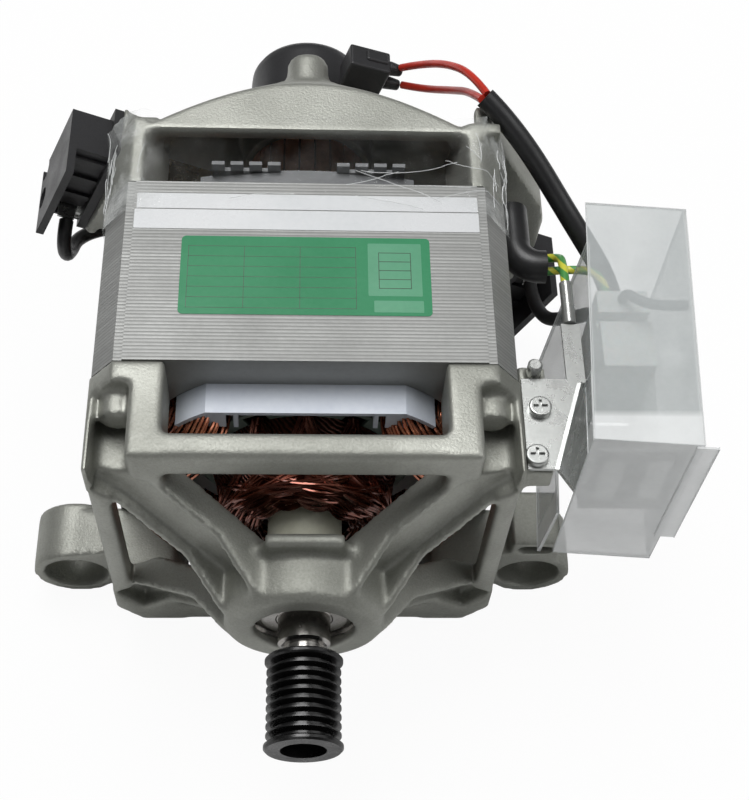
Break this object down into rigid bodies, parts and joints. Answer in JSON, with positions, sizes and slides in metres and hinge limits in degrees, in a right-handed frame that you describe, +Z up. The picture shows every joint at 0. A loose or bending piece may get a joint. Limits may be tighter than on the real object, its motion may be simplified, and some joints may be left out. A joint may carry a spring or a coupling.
{
  "type": "washing machine motor",
  "caption": "Universal motor for a washing machine: laminated stator between two cast brackets, grooved belt pulley, brushes, speed sensor and connector under a clear cover",
  "frame": {"origin": "Centre of the pulley's nose face, on the shaft axis", "axes": "X to the right, Y back along the shaft from the pulley to the speed sensor, Z up"},
  "size_m": [0.183, 0.223, 0.1138],
  "materials": {
    "cast_aluminium": "matt, sand-cast grain",
    "lamination_steel": "satin, fine sheet edges",
    "shaft_steel": "ground bright",
    "pulley_steel": "blackened, semi-gloss",
    "galvanised_steel": "bright zinc",
    "copper": "enamelled wire",
    "carbon": "matt",
    "black_plastic": "moulded, fine grain",
    "white_plastic": "moulded",
    "insulation": "smooth sheet",
    "clear_sheet": "clear plastic sheet",
    "red_wire": "semi-gloss",
    "black_sleeve": "satin",
    "earth_wire": "green and yellow stripes",
    "brass_parts": "bright"
  },
  "bodies": {
    "motor_frame": {"bracket_screws": "pulley_steel", "bracket_stud": "galvanised_steel", "clear_cover": "clear_sheet", "connector_block": "white_plastic", "connector_bracket": "galvanised_steel", "connector_pins": "brass_parts", "earth_link_wire": "earth_wire", "earth_terminal": "brass_parts", "earth_wire": "earth_wire", "field_lead": "black_sleeve", "front_bearing_balls": "shaft_steel", "front_bearing_outer_race": "shaft_steel", "front_bracket": "cast_aluminium", "front_slot_insulators": "white_plastic", "grey_lead": "black_sleeve", "harness_sleeve": "black_sleeve", "holder_screws": "galvanised_steel", "left_brush_guide": "brass_parts", "left_brush_holder": "black_plastic", "left_brush_lead": "black_sleeve", "left_brush_spring": "galvanised_steel", "left_brush_terminal": "galvanised_steel", "left_field_coil": "copper", "rear_bearing_balls": "shaft_steel", "rear_bearing_outer_race": "shaft_steel", "rear_bracket": "cast_aluminium", "rear_slot_insulators": "white_plastic", "rear_spring_washer": "galvanised_steel", "red_wire_lower": "red_wire", "red_wire_upper": "red_wire", "right_brush_guide": "brass_parts", "right_brush_holder": "black_plastic", "right_brush_lead": "black_sleeve", "right_brush_spring": "galvanised_steel", "right_brush_terminal": "galvanised_steel", "right_field_coil": "copper", "sensor_boots": "white_plastic", "sensor_cap": "black_plastic", "sensor_coil": "copper", "stator_core": "lamination_steel", "thermal_protector": "black_plastic", "through_bolts": "pulley_steel", "wiring_tube": "black_sleeve"},
    "rotor": {"shaft": "shaft_steel", "belt_pulley": "pulley_steel", "armature_core": "lamination_steel", "armature_winding": "copper", "armature_end_discs": "insulation", "shaft_sleeve": "white_plastic", "commutator_hub": "white_plastic", "commutator_bars": "copper", "front_bearing_inner_race": "shaft_steel", "rear_bearing_inner_race": "shaft_steel", "sensor_magnet": "carbon"},
    "left_brush_slide": {"left_brush": "carbon"},
    "right_brush_slide": {"right_brush": "carbon"}
  },
  "joints": [
    {"name": "shaft_spin", "type": "hinge", "parent": "motor_frame", "child": "rotor", "pos_m": [0, 0, 0], "axis": [0, 1, 0], "continuous": true},
    {"name": "left_brush_wear", "type": "slide", "parent": "motor_frame", "child": "left_brush_slide", "axis": [-0.9135, 0, 0.4067], "range_m": [0, 0.012], "stiffness_N_per_m": 60, "springref_m": -0.02, "deforming": ["left_brush_spring"]},
    {"name": "right_brush_wear", "type": "slide", "parent": "motor_frame", "child": "right_brush_slide", "axis": [0.9135, 0, -0.4067], "range_m": [0, 0.012], "stiffness_N_per_m": 60, "springref_m": -0.02, "deforming": ["right_brush_spring"]}
  ]
}
